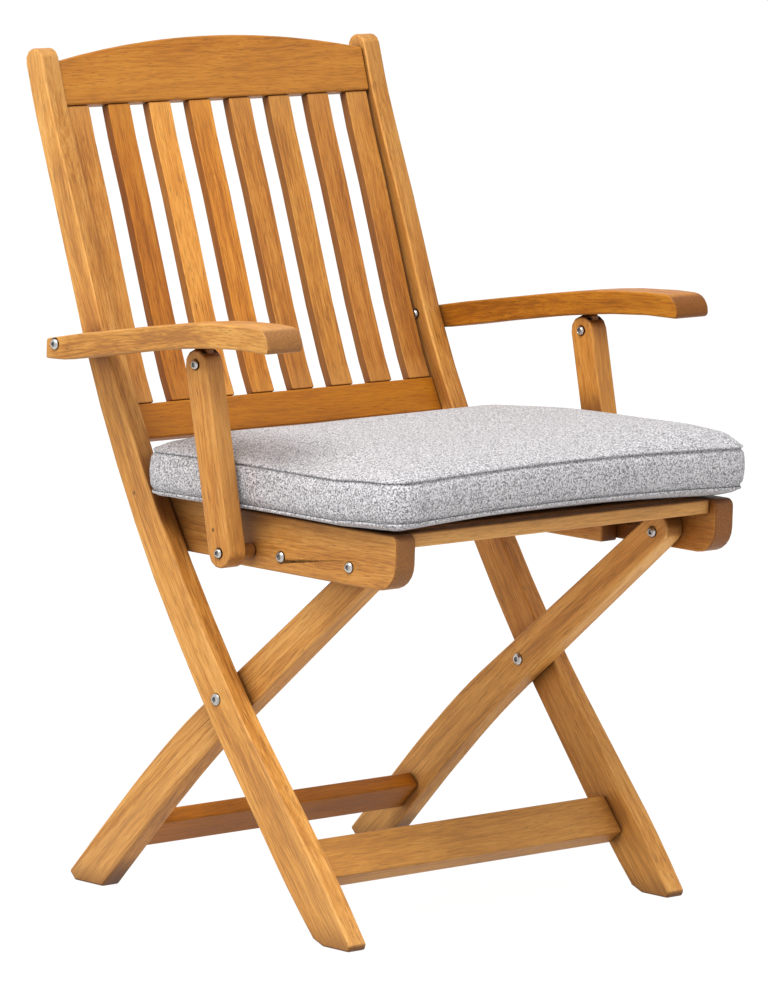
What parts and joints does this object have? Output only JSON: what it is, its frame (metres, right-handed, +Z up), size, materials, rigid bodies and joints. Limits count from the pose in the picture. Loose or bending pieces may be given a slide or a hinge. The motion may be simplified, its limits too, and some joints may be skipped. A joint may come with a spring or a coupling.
{
  "type": "folding teak armchair",
  "caption": "Folding wooden garden armchair with a slatted back, slatted seat, curved arms and a loose tweed seat cushion.",
  "frame": {"origin": "centre of the chair's footprint box, on the floor", "axes": "+Z up, the sitter faces -Y, +X is the sitter's left"},
  "size_m": [0.634, 0.5752, 0.869],
  "materials": {
    "teak": "oiled, satin",
    "steel": "stainless, domed heads",
    "tweed": "grey melange weave with piped seams"
  },
  "bodies": {
    "back_frame": {"right_long_leg": "teak", "left_long_leg": "teak", "top_rail": "teak", "lower_back_rail": "teak", "back_slat_1": "teak", "back_slat_2": "teak", "back_slat_3": "teak", "back_slat_4": "teak", "back_slat_5": "teak", "back_slat_6": "teak", "back_slat_7": "teak", "back_slat_8": "teak", "front_stretcher": "teak", "seat_rest_rail": "teak", "right_crossing_bolt": "steel", "left_crossing_bolt": "steel", "right_crossing_nut": "steel", "left_crossing_nut": "steel", "right_crossing_washer": "steel", "left_crossing_washer": "steel", "right_arm_nut": "steel", "left_arm_nut": "steel"},
    "rear_leg_frame": {"right_rear_leg": "teak", "left_rear_leg": "teak", "rear_stretcher": "teak", "right_seat_nut": "steel", "left_seat_nut": "steel"},
    "seat": {"right_seat_rail": "teak", "left_seat_rail": "teak", "right_seat_runner": "teak", "left_seat_runner": "teak", "front_seat_rail": "teak", "seat_slat_1": "teak", "seat_slat_2": "teak", "seat_slat_3": "teak", "seat_slat_4": "teak", "seat_slat_5": "teak", "seat_slat_6": "teak", "seat_cushion": "tweed", "right_seat_bolt": "steel", "left_seat_bolt": "steel", "right_rail_bolt": "steel", "left_rail_bolt": "steel"},
    "right_armrest": {"right_arm": "teak", "right_arm_lug": "teak", "right_arm_bolt": "steel"},
    "left_armrest": {"left_arm": "teak", "left_arm_lug": "teak", "left_arm_bolt": "steel"},
    "right_support": {"right_arm_support": "teak", "right_support_spacer": "teak", "right_support_foot_bolt": "steel", "right_support_top_bolt": "steel", "right_support_top_nut": "steel"},
    "left_support": {"left_arm_support": "teak", "left_support_spacer": "teak", "left_support_foot_bolt": "steel", "left_support_top_bolt": "steel", "left_support_top_nut": "steel"}
  },
  "joints": [
    {"name": "leg_fold", "type": "hinge", "parent": "back_frame", "child": "rear_leg_frame", "pos_m": [0, -0.02607, 0.22697], "axis": [-1, 0, 0], "range_deg": [0, 68]},
    {"name": "seat_fold", "type": "hinge", "parent": "rear_leg_frame", "child": "seat", "pos_m": [0, -0.213, 0.386], "axis": [1, 0, 0], "range_deg": [0, 136]},
    {"name": "right_arm_fold", "type": "hinge", "parent": "back_frame", "child": "right_armrest", "pos_m": [-0.27, 0.17005, 0.571], "axis": [-1, 0, 0], "range_deg": [0, 104.8]},
    {"name": "left_arm_fold", "type": "hinge", "parent": "back_frame", "child": "left_armrest", "pos_m": [0.27, 0.17005, 0.571], "axis": [-1, 0, 0], "range_deg": [0, 104.8]},
    {"name": "right_support_fold", "type": "hinge", "parent": "right_armrest", "child": "right_support", "pos_m": [-0.277, -0.032, 0.57133], "axis": [1, 0, 0], "range_deg": [0, 91.8]},
    {"name": "left_support_fold", "type": "hinge", "parent": "left_armrest", "child": "left_support", "pos_m": [0.277, -0.032, 0.57133], "axis": [1, 0, 0], "range_deg": [0, 91.8]}
  ],
  "couplings": [
    {"joint": "seat_fold", "follows": "leg_fold", "ratio": 2},
    {"joint": "right_arm_fold", "follows": "leg_fold", "ratio": 1.54},
    {"joint": "left_arm_fold", "follows": "leg_fold", "ratio": 1.54},
    {"joint": "right_support_fold", "follows": "leg_fold", "ratio": 1.35},
    {"joint": "left_support_fold", "follows": "leg_fold", "ratio": 1.35}
  ]
}
